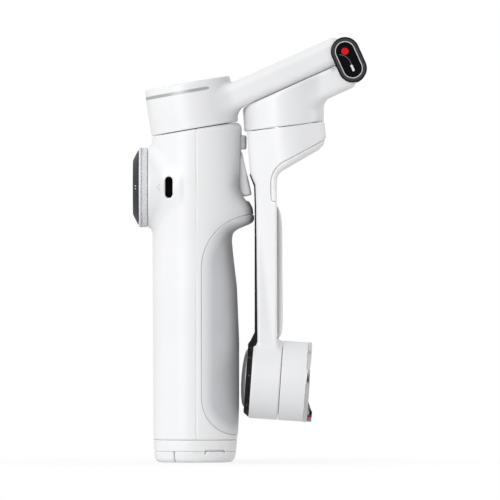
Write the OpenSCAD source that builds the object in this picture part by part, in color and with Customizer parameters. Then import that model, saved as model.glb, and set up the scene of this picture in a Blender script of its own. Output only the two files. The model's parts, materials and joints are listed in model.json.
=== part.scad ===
// Folding three-axis handheld stabilizer, shown folded and standing on its base.
// Frame: origin at the centre of the base, +Z up the handle, -X towards the control
// dial (the user's thumb), +X towards the trigger and the folded arms, Y across.

/* [Handle] */
// Distance from the handle's axis to its front, low on the handle
handle_front = 16.2; // [15.8:0.1:16.6]
// Half of the handle's width
handle_side = 16.5; // [16.3:0.1:16.9]
// Thickness of the shells
wall = 1.7; // [1.5:0.1:1.8]
// Thickness of the rubber grip pad
grip_depth = 1.2; // [0.8:0.1:1.4]
// Height where the shells end and the base ring begins
shell_foot_z = 8.7; // [8:0.1:9]

/* [Dial] */
// Height of the dial and of the charging port
dial_z = 107.1; // [106:0.1:108]
// Outside radius of the zoom ring
dial_r = 15.5; // [15:0.1:15.8]
// Number of grip ribs on the zoom ring
dial_ribs = 72; // [48:1:90]

/* [Pan motor] */
// Height of the pan seam on the handle's axis
pan_z = 129.9; // [129:0.1:131]
// How far the pan axis leans towards the user
pan_lean = 9.8; // [9:0.1:10.5]
// Radius of the pan drum
pan_r = 17.1; // [16.8:0.1:17.2]
// Height of the pan drum
pan_h = 18.2; // [18:0.1:18.6]

/* [Fold hinge] */
// Centre of the hinge link, along X
link_x = 59.9; // [59.5:0.1:60.5]
// Centre of the hinge link, along Z
link_z = 156.7; // [156:0.1:157]
// Slope of both arms above the horizontal
arm_slope = 24.2; // [24:0.1:24.4]
// Teeth on each of the two hinge gears
hinge_teeth = 12; // [12:1:12]
// Module of the hinge gears, which sets the distance between the pins
hinge_module = 0.6; // [0.6:0.01:0.6]
// Half of the arms' width
arm_side = 11.5; // [11:0.1:12]
// Thickness of each arm at the hinge
arm_thick = 10.6; // [10.4:0.1:10.8]

/* [Roll motor] */
// Centre of the roll seam, along X
roll_x = 35.2; // [35:0.1:35.4]
// Centre of the roll seam, along Z
roll_z = 130.8; // [130.6:0.1:131]
// How far the roll axis leans
roll_lean = 7.4; // [7:0.1:7.6]
// Radius of the roll drum
roll_r = 15.2; // [15:0.1:15.3]

/* [Tilt motor] */
// Centre of the tilt seam, along X
tilt_x = 33.3; // [33.2:0.1:33.4]
// Height of the tilt axis at its seam
tilt_z = 31.9; // [31.8:0.1:32]
// How far the tilt axis dips
tilt_dip = 4; // [3.8:0.1:4.2]
// Radius of the tilt motor
tilt_r = 15.5; // [15.4:0.1:15.6]

/* [Tripod] */
// Height of the leg pivots when the tripod is in
leg_pivot_z = 41; // [40:0.5:42]
// Distance of the leg pivots from the axis
leg_pivot_r = 7.3; // [7.3:0.1:7.4]
// Width of a leg
leg_w = 8; // [7.6:0.1:8]

/* [Hidden] */
$fn = 64;
e = 0.01;            // overlap that keeps cuts clean
seam = 0.15;         // half of the gap at a motor seam
run = 0.04;          // running clearance on a radius
motor_r = 13.6;      // inside radius of a roll or tilt drum
axle_r = 3;
bearing_r = 6;
pin_off = hinge_teeth * hinge_module / 2;   // hinge pins from the link's centre
pin_r = 1.5;
knuckle_r = pin_off - 0.15;
link_r = 5.6;        // end radius of the link plates
link_t = 1.6;
gear_slot = 3.2;     // half width of the gear slot
split_x = 0.6;       // plane where the two handle shells meet
mouth_r = 13.4;      // inside radius of the tripod sleeve
hull_fn = 40;        // corners of a handle section

// ---------------------------------------------------------------- shared frames

// Puts children, drawn about +Z, on the pan axis with z = 0 at the seam.
module on_pan() { translate([0, 0, pan_z]) rotate([0, -pan_lean, 0]) children(); }

// Puts children on the roll axis with z = 0 at the seam and the housing above it.
module on_roll() { translate([roll_x, 0, roll_z]) rotate([0, -roll_lean, 0]) children(); }

// Puts children on the tilt axis with z = 0 at the seam and the rotor at z above 0.
module on_tilt() { translate([tilt_x, 0, tilt_z]) rotate([0, 90 + tilt_dip, 0]) children(); }

// Puts children in the hinge link's frame: X along the arms, Z across the seam.
module on_link() { translate([link_x, 0, link_z]) rotate([0, -arm_slope, 0]) children(); }

// Turns a drawing in X and Z into a slab across Y.
module slab(half) { rotate([90, 0, 0]) linear_extrude(2 * half, center = true) children(); }

// A slab between two distances along Y.
module slab_between(y0, y1) {
  translate([0, (y0 + y1) / 2, 0]) slab(abs(y1 - y0) / 2) children();
}

function arc(cx, cy, r, from, to, steps = 10) =
  [for (i = [0 : steps]) let (a = from + (to - from) * i / steps) [cx + r * cos(a), cy + r * sin(a)]];

module tube(outer, inner, z0, z1) {
  translate([0, 0, z0]) difference() {
    cylinder(r = outer, h = z1 - z0);
    translate([0, 0, -1]) cylinder(r = inner, h = z1 - z0 + 2);
  }
}

module rod(r, z0, z1) { translate([0, 0, z0]) cylinder(r = r, h = z1 - z0); }

// ---------------------------------------------------------------- handle sections

// The handle's back, front and side as [height, distance from the axis].
back_line = [[0, 14.4], [1.2, 15.5], [4.3, 16.1], [10.5, 16.4], [13, 17], [22, 17.3],
             [47, 17.4], [68, 16.5], [82, 14.9], [87.5, 14.4], [90.5, 16], [92.2, 20],
             [93.8, 22.5], [96, 22.8], [99, 22.6], [101.6, 21.4], [104.5, 19], [109, 17.8],
             [128, 18.2], [136, 18.3]];
front_line = [[0, handle_front - 1.9], [1.2, handle_front - 0.8], [4.3, handle_front - 0.2],
              [8.7, handle_front], [136, handle_front + 0.7]];
side_line = [[0, handle_side - 1.9], [1.2, handle_side - 0.8], [4.3, handle_side - 0.1],
             [85, handle_side], [112, handle_side + 0.6], [136, handle_side + 0.6]];
levels = [for (p = back_line) p[0]];
roundness = 2.2;     // exponent of the section; 2 is an ellipse

function power(v, k) = sign(v) * pow(abs(v), k);
function section(z, inset) = [
  for (i = [0 : hull_fn - 1])
    let (a = 360 * i / hull_fn, c = power(cos(a), 2 / roundness), s = power(sin(a), 2 / roundness))
      [c * ((c > 0 ? lookup(z, back_line) : lookup(z, front_line)) - inset),
       s * (lookup(z, side_line) - inset)]
];

// The handle's outside, moved in by inset, between its lowest and highest level.
module handle_body(inset = 0) {
  for (i = [0 : len(levels) - 2])
    hull()
      for (z = [levels[i], levels[i + 1]])
        translate([0, 0, z]) linear_extrude(e) polygon(section(z, inset));
}

// Everything above a plane across the pan axis.
module above_pan(z) { on_pan() translate([-40, -40, z]) cube([80, 80, 40]); }

// A block that covers X from x0 to x1 and Z from z0 to z1.
module block(x0, x1, z0, z1, half = 30) {
  translate([x0, -half, z0]) cube([x1 - x0, 2 * half, z1 - z0]);
}

// The hollow inside both shells, under the pan base.
module handle_hollow() {
  difference() {
    handle_body(wall);
    above_pan(-2.6);
  }
}

// Outline of the grip pad seen from the side, in X and Z.
grip_edge_x = 2.7;
grip_top_z = 96.6;
grip_foot_z = 10.8;
function grip_outline(out = 0) = concat(
  [for (a = [180 : -10 : 90]) [24 + (24 - grip_edge_x + out) * cos(a),
                               76 + (grip_top_z - 76 + out) * sin(a)]],
  [[40, grip_top_z + out], [40, grip_foot_z - out]],
  [for (a = [270 : -10 : 180]) [16 + (16 - grip_edge_x + out) * cos(a),
                                25 + (25 - grip_foot_z + out) * sin(a)]]);

module dial_axis() { translate([0, 0, dial_z]) rotate([0, -90, 0]) children(); }

// ---------------------------------------------------------------- handle shells

module front_shell() {
  color("white") difference() {
    union() {
      intersection() {
        handle_body();
        block(-30, split_x - 0.05, shell_foot_z, 140);
      }
      dial_axis() rod(dial_r - 0.1, 9, ring_back - 0.15);
    }
    handle_hollow();
    above_pan(-seam - 0.05);
    on_pan() rod(13.15, -8, 8);
    dial_axis() rod(11.2, 8, 20);
    port_slot();
  }
}

// The charging port's opening.
port_x = -10.1;
port_w = 2.9;
port_h = 8.3;
module port_slot() {
  translate([port_x, -7, dial_z]) rotate([90, 0, 0]) linear_extrude(12) pill(port_w, port_h);
}

// A pill of a given width and height, upright.
module pill(w, h) {
  for (s = [-1, 1]) translate([0, s * (h - w) / 2]) circle(d = w);
  square([w, h - w], center = true);
}

module rear_shell() {
  color("white") difference() {
    intersection() {
      handle_body();
      block(split_x + 0.05, 40, shell_foot_z, 140);
    }
    difference() {
      handle_hollow();
      intersection() {
        handle_body(-1);
        slab(30) polygon(grip_outline(wall));
      }
    }
    intersection() {
      handle_body(grip_depth + wall - 0.2);
      block(-40, 40, 0, 126);
    }
    difference() {
      slab(30) polygon(grip_outline(0.1));
      handle_body(grip_depth);
    }
    above_pan(-seam - 0.05);
    on_pan() rod(13.15, -8, 8);
    rod(mouth_r + 0.55, 10, 52);
    block(9, 40, 101.9, 119.3, trigger_side + 0.6);
  }
}

module grip_pad() {
  color("silver") difference() {
    intersection() {
      handle_body(-0.2);
      slab(30) polygon(grip_outline());
      block(split_x + 1, 40, 0, 140);
    }
    handle_body(grip_depth - 0.05);
  }
}

module base_ring() {
  color("white") translate([0, 0, 4.4]) linear_extrude(shell_foot_z - 4.5) difference() {
    polygon(section(6, 0.05));
    circle(r = mouth_r);
  }
}

module tripod_sleeve() { color("dimgray") tube(mouth_r + 0.5, mouth_r, 14, 51); }

// ---------------------------------------------------------------- inside the handle

module battery_cell() {
  color("steelblue") translate([-1.4, 0, 56]) {
    cylinder(r = 9.1, h = 64);
    translate([0, 0, 64 - e]) cylinder(r = 3, h = 1);
  }
}

module main_board() {
  color("green") {
    translate([-12.2, -7.2, 58]) cube([1.2, 14.4, 60]);
    translate([-11.1, -5, 64]) cube([0.4, 6, 6]);
    translate([-11.1, -4, 80]) cube([0.4, 8, 8]);
  }
}

module usb_port() {
  color("silver") translate([port_x, -7.3, dial_z]) rotate([90, 0, 0]) {
    linear_extrude(2.7) difference() {
      pill(port_w + 0.6, port_h + 0.6);
      pill(port_w, port_h);
    }
    linear_extrude(0.6) pill(port_w + 0.3, port_h + 0.3);
    linear_extrude(2.5) square([0.7, 6.6], center = true);
  }
}

// Gasket between the receptacle and the shell's wall.
module port_bezel() {
  color("black") intersection() {
    translate([port_x, -10.05, dial_z]) rotate([90, 0, 0]) linear_extrude(5) difference() {
      pill(port_w + 0.6, port_h + 0.6);
      pill(port_w, port_h);
    }
    handle_body(wall + 0.05);
  }
}

// ---------------------------------------------------------------- dial

neck_r = dial_r - 3.1;
ring_back = 18.45;    // distances along -X from the handle's axis
ring_front = 21.9;
panel_face = 24.2;
button_r = 5.4;

module dial_base() {
  color("white") dial_axis() difference() {
    union() {
      rod(neck_r, ring_back - 0.12, ring_front);
      rod(11, 13.4, ring_back);
    }
    rod(button_r + 0.3, 19, ring_front + 1);
  }
}

module zoom_ring() {
  half_rib = 180 / dial_ribs;
  color("white") dial_axis() translate([0, 0, ring_back]) difference() {
    union() {
      linear_extrude(ring_front - ring_back - 0.1) polygon([
        for (i = [0 : dial_ribs - 1], s = [-0.5, 0.5, 0.8, 1.2])
          let (a = 2 * half_rib * i + half_rib * s, r = dial_r - (s > 0.6 ? 0.35 : 0))
            [r * cos(a), r * sin(a)]
      ]);
    }
    translate([0, 0, -1]) cylinder(r = neck_r + run, h = 6);
  }
}

module dial_panel() {
  color("dimgray") dial_axis() difference() {
    rotate_extrude() polygon([[0, ring_front + 0.05], [14.5, ring_front + 0.05],
      [14.4, ring_front + 0.35], [10.9, panel_face - 0.2], [10.2, panel_face], [0, panel_face]]);
    rod(button_r + 0.1, 20, 30);
  }
}

module panel_button() {
  color("black") dial_axis() {
    rod(button_r, ring_front - 1, panel_face - 0.15);
    rod(2, ring_front - 2.2, ring_front);
  }
}

// ---------------------------------------------------------------- trigger

trigger_x = 13.6;
trigger_z = 121.5;
trigger_side = 4;     // half of its width

module at_trigger() { translate([trigger_x, 0, trigger_z]) rotate([90, 0, 0]) children(); }

module trigger() {
  color("gainsboro") difference() {
    union() {
      slab(trigger_side) polygon(concat(
        [[12.2, 118.6], [17.8, 118.6]],
        arc(21.1, 104.9, 0.9, 20, -60, 6),
        [[20, 103.2], [16.4, 104], [15.6, 111]]));
      at_trigger() cylinder(r = 1.9, h = 6.6, center = true);
      block(12.2, 15.3, 117.6, 121, 3.3);
    }
    at_trigger() cylinder(r = 1 + run, h = 30, center = true);
  }
}

module trigger_pin() { color("silver") at_trigger() cylinder(r = 1, h = 12.4, center = true); }

module trigger_bracket() {
  color("dimgray") difference() {
    union() {
      for (s = [-1, 1]) translate([0, s * 5.6, 0]) slab(0.5) polygon([
        [9.4, 119.4], [14.4, 119.4], [15.1, 120.4], [15.1, 122.9], [14.4, 123.6], [9.4, 123.6]]);
      block(8.4, 9.6, 117, 123.6, 6.1);
    }
    at_trigger() cylinder(r = 1.02, h = 30, center = true);
  }
}

module trigger_spring() {
  color("silver") {
    for (i = [0 : 2]) translate([trigger_x, 3.7 + 0.5 * i, trigger_z]) rotate([90, 0, 0])
      rotate_extrude() translate([1.75, 0]) circle(r = 0.3);
    translate([trigger_x + 1.75, 3.9, trigger_z - 2]) cylinder(r = 0.28, h = 2.2);
  }
}

module trigger_switch() {
  color("black") {
    block(9.2, 11.4, 108, 113, 2.6);
    translate([11.3, 0, 110.5]) rotate([0, 90, 0]) cylinder(r = 1, h = 0.8);
  }
}

module fold_bumper() {
  color("gray") intersection() {
    block(16.9, 19.9, 121.9, 127.4, 5);
    translate([0, 0, 118]) tube(19.9, 18.25, 0, 20);
  }
}

// ---------------------------------------------------------------- tripod

module tripod_hub() {
  color("dimgray") difference() {
    union() {
      rod(5.4, 0, 49);
      rod(10, 38, 49);
      for (a = [60, 180, 300]) rotate(a + 60) translate([8, -1.2, 42]) cube([5, 2.4, 7]);
    }
    rod(4.4, -1, 8.6);
    for (a = [60, 180, 300]) rotate(a) {
      translate([5.4, -2.3, 36]) cube([8, 4.6, 7.4]);
      translate([leg_pivot_r, 0, leg_pivot_z]) rotate([90, 0, 0]) cylinder(r = 0.82, h = 8.4, center = true);
    }
  }
}

module leg_pins() {
  color("silver") for (a = [60, 180, 300]) rotate(a)
    translate([leg_pivot_r, 0, leg_pivot_z]) rotate([90, 0, 0]) cylinder(r = 0.8, h = 8, center = true);
}

module thread_insert() { color("goldenrod") tube(4.38, 2.6, 0, 8.4); }

// One leg, pointing along +X before it is turned to its place.
module leg(turn) {
  color("dimgray") difference() {
    union() {
      rotate(turn) {
        translate([leg_pivot_r - 1.3, -leg_w / 2, 3]) cube([2.6, leg_w, leg_pivot_z - 7.4]);
        translate([leg_pivot_r - 1.3, -2, leg_pivot_z - 4.5]) cube([2.6, 4, 4.5]);
        translate([leg_pivot_r, 0, leg_pivot_z]) rotate([90, 0, 0]) cylinder(r = 1.3, h = 4, center = true);
      }
      intersection() {
        union() {
          translate([0, 0, 0.6]) linear_extrude(3.6) polygon(section(3, 0.05));
          linear_extrude(0.7) polygon(section(0.6, 0.05));
        }
        rotate(turn) linear_extrude(5) polygon([[0.2, 0], [30, 51.6], [60, 0], [30, -51.6]]);
      }
    }
    rod(5.5, -1, 6);
    rotate(turn) translate([leg_pivot_r, 0, leg_pivot_z]) rotate([90, 0, 0])
      cylinder(r = 0.8 + run, h = 9, center = true);
    rotate(turn) translate([16.9, 0, 4.9]) rotate([0, 90, 0])
      translate([0, 0, -1.2]) linear_extrude(6) scale([0.4, 1]) circle(r = 4.3);
  }
}

// ---------------------------------------------------------------- pan motor and first arm

module pan_base() {
  color("dimgray") on_pan() difference() {
    union() {
      rod(13.1, -2.5, 0.1);
      rod(5.2, 0, 3);
    }
    rod(axle_r + 0.01, -5, 5);
  }
}

module pan_axle() { color("silver") on_pan() rod(axle_r, -6, 12.6); }

// A wound stator: a hub, twelve teeth and a coil round each.
module stator(hub_in, outer, z0, z1) {
  tooth = outer - hub_in;
  difference() {
    union() {
      tube(hub_in + tooth * 0.3, hub_in, z0, z1);
      for (a = [0 : 60 : 359]) rotate(a) {
        translate([hub_in + 0.2, -1.1, z0]) cube([tooth - 0.4, 2.2, z1 - z0]);
        translate([hub_in + tooth * 0.4, -1.7, z0 + 0.8]) cube([tooth * 0.4, 3.4, z1 - z0 - 1.6]);
      }
      tube(outer, outer - 0.9, z0, z1);
    }
    rod(hub_in, z0 - 1, z1 + 1);
  }
}

module pan_stator() { color("peru") on_pan() stator(5.3, 12.6, 0.6, 11); }
module pan_magnets() { color("gray") on_pan() tube(15.2, 13.2, 1, 12); }
module pan_bearing() { color("silver") on_pan() tube(5.9, axle_r + run, 11.6, 14.4); }

// Side outline of the first arm in the link's frame.
function arm_end(side) = concat(
  [[-48, side * 0.15]],
  arc(0, side * pin_off, knuckle_r, side * -90, side * 40, 10),
  [[-1.3, side * (arm_thick - 0.6)], [-2.2, side * arm_thick], [-48, side * arm_thick]]);

// Cuts every arm end needs: pin holes and the slot for the gears.
module hinge_cuts(side) {
  translate([0, 0, side * pin_off]) rotate([90, 0, 0]) cylinder(r = pin_r + run, h = 60, center = true);
  for (s = [-1, 1]) translate([0, 0, s * pin_off]) rotate([90, 0, 0])
    cylinder(r = 4.5, h = 2 * gear_slot, center = true);
  translate([-9, -gear_slot, side > 0 ? 1.2 : -5.7]) cube([9, 2 * gear_slot, 4.5]);
}

module pan_arm() {
  color("white") difference() {
    union() {
      on_pan() rod(pan_r, seam, pan_h - 3.6);
      on_pan() translate([0, 0, pan_h - 3.7]) cylinder(r1 = pan_r, r2 = pan_r - 0.7, h = 3.7);
      on_link() slab(arm_side) polygon(arm_end(1));
    }
    on_link() hinge_cuts(1);
    on_link() slab(arm_side - 1.6) polygon([[-44, 1.8], [-11, 1.8], [-11, 8.8], [-44, 8.8]]);
    on_pan() rod(15.4, -1, 12.8);
    on_pan() rod(5.95, 0, 14.45);
    on_pan() rod(15.2, pan_h - 1.7, pan_h + 2);
    on_pan() translate([0, 0, pan_h - 4.1]) rotate([0, 0, 66]) rotate_extrude(angle = 228)
      translate([pan_r - 0.5, 0]) square([3, 1.3]);
  }
}

module pan_cap() { color("white") on_pan() rod(15.15, pan_h - 1.65, pan_h); }

module pan_band() {
  color("silver") on_pan() translate([0, 0, pan_h - 4.05]) rotate([0, 0, 66.2])
    rotate_extrude(angle = 227.6) translate([pan_r - 0.45, 0]) square([0.5, 1.2]);
}

// ---------------------------------------------------------------- hinge gears and link

function involute(a) = tan(a) * 180 / PI - a;

// Half angle of a gear tooth at radius r.
function flank(r, rp, rb) = 90 / hinge_teeth - 0.9 + involute(20) - involute(acos(min(1, rb / r)));

module hinge_gear_shape(turn) {
  rp = pin_off;
  rb = rp * cos(20);
  root = rp - 1.15 * hinge_module;
  tip = rp + 0.85 * hinge_module;
  radii = [root, for (i = [0 : 4]) rb + (tip - rb) * i / 4];
  polygon([for (t = [0 : hinge_teeth - 1], side = [-1, 1], i = [0 : 5])
    let (r = side < 0 ? radii[i] : radii[5 - i], a = turn + 360 * t / hinge_teeth + side * flank(max(r, rb), rp, rb))
      [r * cos(a), r * sin(a)]]);
}

module hinge_gear(side) {
  color("silver") on_link() difference() {
    union() {
      translate([0, 0, side * pin_off]) slab(gear_slot - 0.2) hinge_gear_shape(side > 0 ? 0 : 15);
      translate([-8.8, 0.2 - gear_slot, side * pin_off - 1.8]) cube([8.8, 2 * gear_slot - 0.4, 3.6]);
    }
    translate([0, 0, side * pin_off]) rotate([90, 0, 0]) cylinder(r = pin_r + run, h = 60, center = true);
  }
}

// The link's outline, or one moved in from it.
module link_shape(r) {
  for (s = [-1, 1]) translate([0, s * pin_off]) circle(r = r);
  square([2 * r, 2 * pin_off], center = true);
}

module link_plate(y0, y1) {
  color("black") on_link() difference() {
    slab_between(y0, y1) link_shape(link_r);
    for (s = [-1, 1]) translate([0, 0, s * pin_off]) rotate([90, 0, 0])
      cylinder(r = pin_r + 0.01, h = 25.2, center = true);
  }
}

link_in = arm_side + 0.12;
link_out = link_in + link_t;
module link_plate_near() { link_plate(-link_in, -link_out); }
module link_plate_far() { link_plate(link_in, link_out); }

module link_trim() {
  color("silver") on_link() slab_between(-link_out, -link_out - 0.15) difference() {
    link_shape(4);
    link_shape(3.6);
  }
}

module link_dot() {
  color("red") on_link() slab_between(-link_out, -link_out - 0.2)
    translate([0, pin_off]) circle(r = 1.45);
}

module link_mark() {
  color("white") on_link() slab_between(-link_out, -link_out - 0.15) {
    translate([0, -pin_off + 0.1]) pill(0.85, 2.7);
    polygon(concat(arc(-3.2, -1.2, 3.2, 0, 80), arc(-3.2, -1.2, 2.95, 80, 0)));
  }
}

module hinge_pins() {
  color("silver") on_link() for (s = [-1, 1]) translate([0, 0, s * pin_off]) rotate([90, 0, 0])
    cylinder(r = pin_r, h = 25, center = true);
}

// ---------------------------------------------------------------- roll motor housing

module roll_housing() {
  color("white") difference() {
    union() {
      intersection() {
        translate([roll_x - 0.45, 0, roll_z]) rotate([0, -2, 0]) translate([0, 0, -6])
          cylinder(r1 = roll_r + 0.15, r2 = roll_r + 1.4, h = 36);
        on_roll() translate([-30, -30, seam]) cube([60, 60, 60]);
        on_link() translate([-80, -30, -60.15]) cube([140, 60, 60]);
      }
      on_link() slab(arm_side) polygon(concat(
        [[-34, -0.15]],
        arc(0, -pin_off, knuckle_r, 90, -40, 10),
        [[-1.3, -arm_thick + 1], [-3.2, -arm_thick + 0.4], [-22, -arm_thick + 0.2], [-34, -7]]));
    }
    on_link() hinge_cuts(-1);
    on_roll() rod(motor_r, -1, 7.8);
    on_roll() rod(bearing_r + 0.05, 0, 10.6);
    on_link() slab(arm_side - 1.8) polygon([[-16, -2], [-11, -2], [-11, -9.6], [-16, -9.6]]);
  }
}

module roll_stator() { color("peru") on_roll() stator(6.1, 10.8, 0.5, 7.4); }
module roll_bearing() { color("silver") on_roll() tube(bearing_r, axle_r + run, 0.8, 10.4); }
module roll_magnets() { color("gray") on_roll() tube(13.2, 11.2, -7.4, 6.8); }
module roll_axle() { color("silver") on_roll() rod(axle_r, -8.4, 10); }

// ---------------------------------------------------------------- roll arm

arm_out = 24.1;       // outer face of the arm, under the dark strip
arm_in = 31.9;        // inner face of the arm
flare_z = 112.3;      // height where the drum's side turns into the arm
cup_back = -11.4;     // back of the tilt cup along the tilt axis

// Side outline of the roll arm, seam to tilt cup.
arm_outline = concat(
  [[19.95, 134], [20.3, 128.3], [21.06, 117.8], [21.5, flare_z], [arm_out - 0.5, 107.8],
   [arm_out - 0.2, 100],
   [arm_out + 0.3, 50], [arm_out + 0.3, 38], [arm_in + 0.4, 38], [arm_in + 0.1, 50]],
  arc(arm_in + 7, 106.5, 7, 180, 118, 8),
  [[48.2, 120.6], [49.9, 122.2], [51.1, 126.6], [50.2, 134]]);

module arm_solid() {
  intersection() {
    on_roll() rod(roll_r + 0.05, -26, -seam);
    slab(30) polygon(arm_outline);
  }
  intersection() {
    on_roll() translate([-40, -40, -110]) cube([80, 80, 110 - seam]);
    slab(10.4) polygon(arm_outline);
  }
}

// The cover under the drum's flare: what lies below a plane and beside the arm.
module cover_zone(gap) {
  slab(30) polygon([[arm_in - 2.1 - gap, 101.5 - gap], [arm_in + 0.6, 101.5 - gap], [60, 112],
                    [60, 129], [48.6, 123.3 + gap], [33.6, 115.6 + gap], [arm_in - 2.1 - gap, 111]]);
}

module roll_arm() {
  color("white") difference() {
    union() {
      difference() {
        arm_solid();
        difference() {
          cover_zone(0.1);
          on_roll() rod(roll_r - 1.2, -30, 0);
          block(-10, arm_in - 1.4, 90, 118, 30);
        }
      }
      on_tilt() rod(tilt_r, cup_back, -seam);
    }
    on_roll() rod(motor_r, -7.8, 5);
    on_roll() rod(axle_r + 0.01, -8.5, 5);
    on_tilt() rod(motor_r, cup_back + 1.8, 5);
    slab(6) polygon([[26, 100], [30, 100], [30, 52], [26, 52]]);
  }
}

module roll_arm_cover() {
  color("white") difference() {
    intersection() {
      arm_solid();
      cover_zone(0);
    }
    on_roll() rod(roll_r - 1.1, -30, 0);
    block(-10, arm_in - 1.3, 90, 118, 30);
  }
}

// Raised crown on the arm's inner face.
module arm_spine() {
  color("white") slab(7.5) polygon([[arm_in + 0.12, 100], [arm_in + 1.6, 97], [arm_in + 2.1, 92],
    [arm_in + 2.4, 54], [arm_in + 1.9, 50], [arm_in + 0.4, 47.9], [arm_in + 0.25, 50]]);
}

disc_r = 14.9;        // dark plate on the tilt cup
disc_t = 2.1;

module arm_strip() {
  color("dimgray") difference() {
    union() {
      slab(9.4) polygon([[21.45, flare_z], [arm_out - 0.55, 107.8], [arm_out - 0.24, 100],
        [arm_out + 0.26, 50], [arm_out + 0.26, 44], [21.6, 44], [20.85, 45.8], [arm_out - 0.8, 50.6],
        [arm_out - 0.8, 100], [arm_out - 1, 107.6], [21.15, flare_z]]);
      on_tilt() rotate_extrude() polygon([[0, cup_back - 0.05], [tilt_r - 0.3, cup_back - 0.05],
        [disc_r - 1.4, cup_back - disc_t], [0, cup_back - disc_t]]);
    }
    on_tilt() rod(tilt_r + 0.05, cup_back - 0.04, 0);
    on_tilt() rod(11.3, cup_back - 9, cup_back - 0.7);
  }
}

module outer_disc() {
  color("silver") on_tilt() rotate_extrude() polygon(concat(
    [[0, cup_back - 0.75], [11.2, cup_back - 0.75]],
    [for (i = [0 : 8]) let (a = 90 * i / 8) [11.2 * cos(a), cup_back - disc_t - 0.1 - 1.7 * sin(a)]]));
}

module tilt_stator() { color("peru") on_tilt() stator(6.1, 10.8, -8.6, -0.6); }
module tilt_bearing() { color("silver") on_tilt() tube(bearing_r, axle_r + run, -9.5, -0.7); }

// ---------------------------------------------------------------- tilt rotor

rotor_end = 9.85;     // where the white drum ends and the metal ring begins
ring_end = 11.4;
key_from = 7.2;       // where the key begins, below the tilt axis
key_side = 4.5;       // half of its width

module tilt_rotor() {
  color("white") on_tilt() difference() {
    rod(tilt_r, seam, rotor_end);
    rod(motor_r, -1, 7.6);
    rod(axle_r + 0.01, 5, 8.6);
    rod(12.6, 8.8, 12);
  }
}

module tilt_ring() {
  color("silver") on_tilt() tube(tilt_r + 0.15, 12.6, rotor_end + 0.02, ring_end);
}

// Face the phone clamp rests on, notched where the key stands over it.
module clamp_seat() {
  color("gray") on_tilt() difference() {
    rod(12.5, 8.85, ring_end - 0.5);
    translate([key_from - 0.2, -key_side - 0.2, ring_end - 0.9]) cube([10, 2 * key_side + 0.4, 2]);
  }
}

module tilt_magnets() { color("gray") on_tilt() tube(13.2, 11.2, -7, 7.2); }
module tilt_axle() { color("silver") on_tilt() rod(axle_r, -9, 8.5); }

// A keyed block at the rotor's lower edge that turns the phone clamp the right way.
module locating_key() {
  color("gray") on_tilt() intersection() {
    translate([key_from, -key_side, ring_end + 0.02]) cube([8.6, 2 * key_side, 1.7]);
    rod(tilt_r, 8, 16);
  }
}

// ---------------------------------------------------------------- assembly

front_shell();
rear_shell();
grip_pad();
base_ring();
battery_cell();
main_board();
usb_port();
port_bezel();
dial_base();
dial_panel();
trigger_bracket();
trigger_pin();
trigger_spring();
trigger_switch();
fold_bumper();
pan_base();
pan_axle();
pan_stator();
tripod_sleeve();
zoom_ring();
panel_button();
trigger();
tripod_hub();
thread_insert();
leg_pins();
leg(60);  // tripod_leg_a
leg(180);  // tripod_leg_b
leg(300);  // tripod_leg_c
pan_arm();
pan_cap();
pan_band();
pan_magnets();
pan_bearing();
hinge_gear(1);  // hinge_gear_upper
link_plate_near();
link_plate_far();
link_trim();
link_dot();
link_mark();
hinge_pins();
roll_housing();
hinge_gear(-1);  // hinge_gear_lower
roll_stator();
roll_bearing();
roll_arm();
roll_arm_cover();
arm_spine();
arm_strip();
outer_disc();
roll_magnets();
roll_axle();
tilt_stator();
tilt_bearing();
tilt_rotor();
tilt_ring();
clamp_seat();
locating_key();
tilt_magnets();
tilt_axle();
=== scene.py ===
"""A folded handheld stabilizer: its visible pieces and materials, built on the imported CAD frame.

Moulded parts are distance fields sampled on a fine grid and meshed, turned parts are lathed
profiles, and small trim is cut from outlines. Lengths are millimetres until a mesh is made.
"""
import json
import math
from types import SimpleNamespace
import bpy
import numpy as np
import openvdb as vdb
from mathutils import Matrix, Vector


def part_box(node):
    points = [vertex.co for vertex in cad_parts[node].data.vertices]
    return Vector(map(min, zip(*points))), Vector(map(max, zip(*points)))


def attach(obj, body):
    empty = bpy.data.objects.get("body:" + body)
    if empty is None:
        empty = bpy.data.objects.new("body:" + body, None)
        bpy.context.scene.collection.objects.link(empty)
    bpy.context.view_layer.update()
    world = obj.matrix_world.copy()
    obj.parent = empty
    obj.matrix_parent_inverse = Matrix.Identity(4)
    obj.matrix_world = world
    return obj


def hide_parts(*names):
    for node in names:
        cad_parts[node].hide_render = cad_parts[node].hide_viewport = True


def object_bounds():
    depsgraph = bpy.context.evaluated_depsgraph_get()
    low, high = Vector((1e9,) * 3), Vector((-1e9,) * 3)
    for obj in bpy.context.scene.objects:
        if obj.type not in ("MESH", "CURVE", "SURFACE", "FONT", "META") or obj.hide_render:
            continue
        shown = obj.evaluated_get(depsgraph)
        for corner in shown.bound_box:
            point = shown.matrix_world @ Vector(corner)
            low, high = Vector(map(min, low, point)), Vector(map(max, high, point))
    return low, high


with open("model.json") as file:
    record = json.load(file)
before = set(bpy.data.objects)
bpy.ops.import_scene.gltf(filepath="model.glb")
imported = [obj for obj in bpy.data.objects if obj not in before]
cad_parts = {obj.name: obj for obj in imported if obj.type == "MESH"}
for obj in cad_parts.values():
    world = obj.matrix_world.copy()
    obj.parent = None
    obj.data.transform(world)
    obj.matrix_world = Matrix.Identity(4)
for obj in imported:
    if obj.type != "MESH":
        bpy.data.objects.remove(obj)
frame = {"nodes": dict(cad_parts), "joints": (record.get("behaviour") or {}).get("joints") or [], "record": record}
cad_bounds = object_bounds()

MM = 0.001
FINE = 0.3
COARSE = 0.4
JOINTS = {j["name"]: j for j in frame["joints"]}
MOUNTS = {m["name"]: m for m in frame["record"]["mounts"]}


# ---------- frames

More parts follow.
